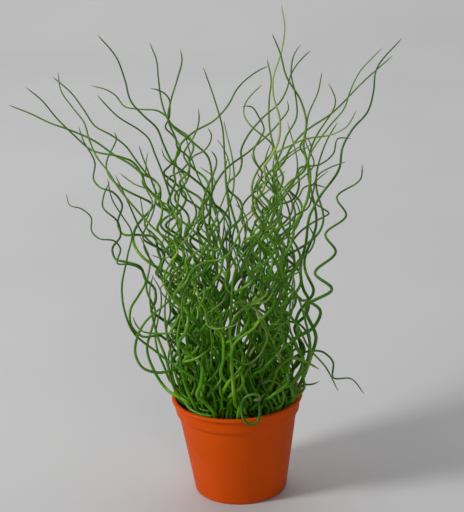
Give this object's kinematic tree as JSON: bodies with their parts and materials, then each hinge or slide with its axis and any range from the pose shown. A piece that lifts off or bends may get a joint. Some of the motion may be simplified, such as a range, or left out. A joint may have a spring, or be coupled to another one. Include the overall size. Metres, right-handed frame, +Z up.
{
  "type": "corkscrew rush in a plastic pot",
  "caption": "Potted corkscrew rush: round green stems that wind like corkscrews and fan out from a tapered plastic nursery pot with a collar and rolled lip.",
  "frame": {"origin": "middle of the pot's base, on the surface it stands on", "axes": "+Z up along the pot's axis, -Y towards the front of the plant, +X to its right as seen from the front"},
  "size_m": [0.348, 0.3248, 0.4473],
  "materials": {
    "pot_plastic": "satin",
    "compost": "matte",
    "rush_stem": "satin"
  },
  "bodies": {
    "root": {"pot": "pot_plastic", "soil": "compost", "tuft_01": "rush_stem", "tuft_02": "rush_stem", "tuft_03": "rush_stem", "tuft_04": "rush_stem", "tuft_05": "rush_stem", "tuft_06": "rush_stem", "tuft_07": "rush_stem", "tuft_08": "rush_stem", "tuft_09": "rush_stem", "tuft_10": "rush_stem", "tuft_11": "rush_stem", "tuft_12": "rush_stem", "tuft_13": "rush_stem", "tuft_14": "rush_stem", "tuft_15": "rush_stem", "tuft_16": "rush_stem", "tuft_17": "rush_stem", "tuft_18": "rush_stem", "tuft_19": "rush_stem"}
  },
  "joints": []
}
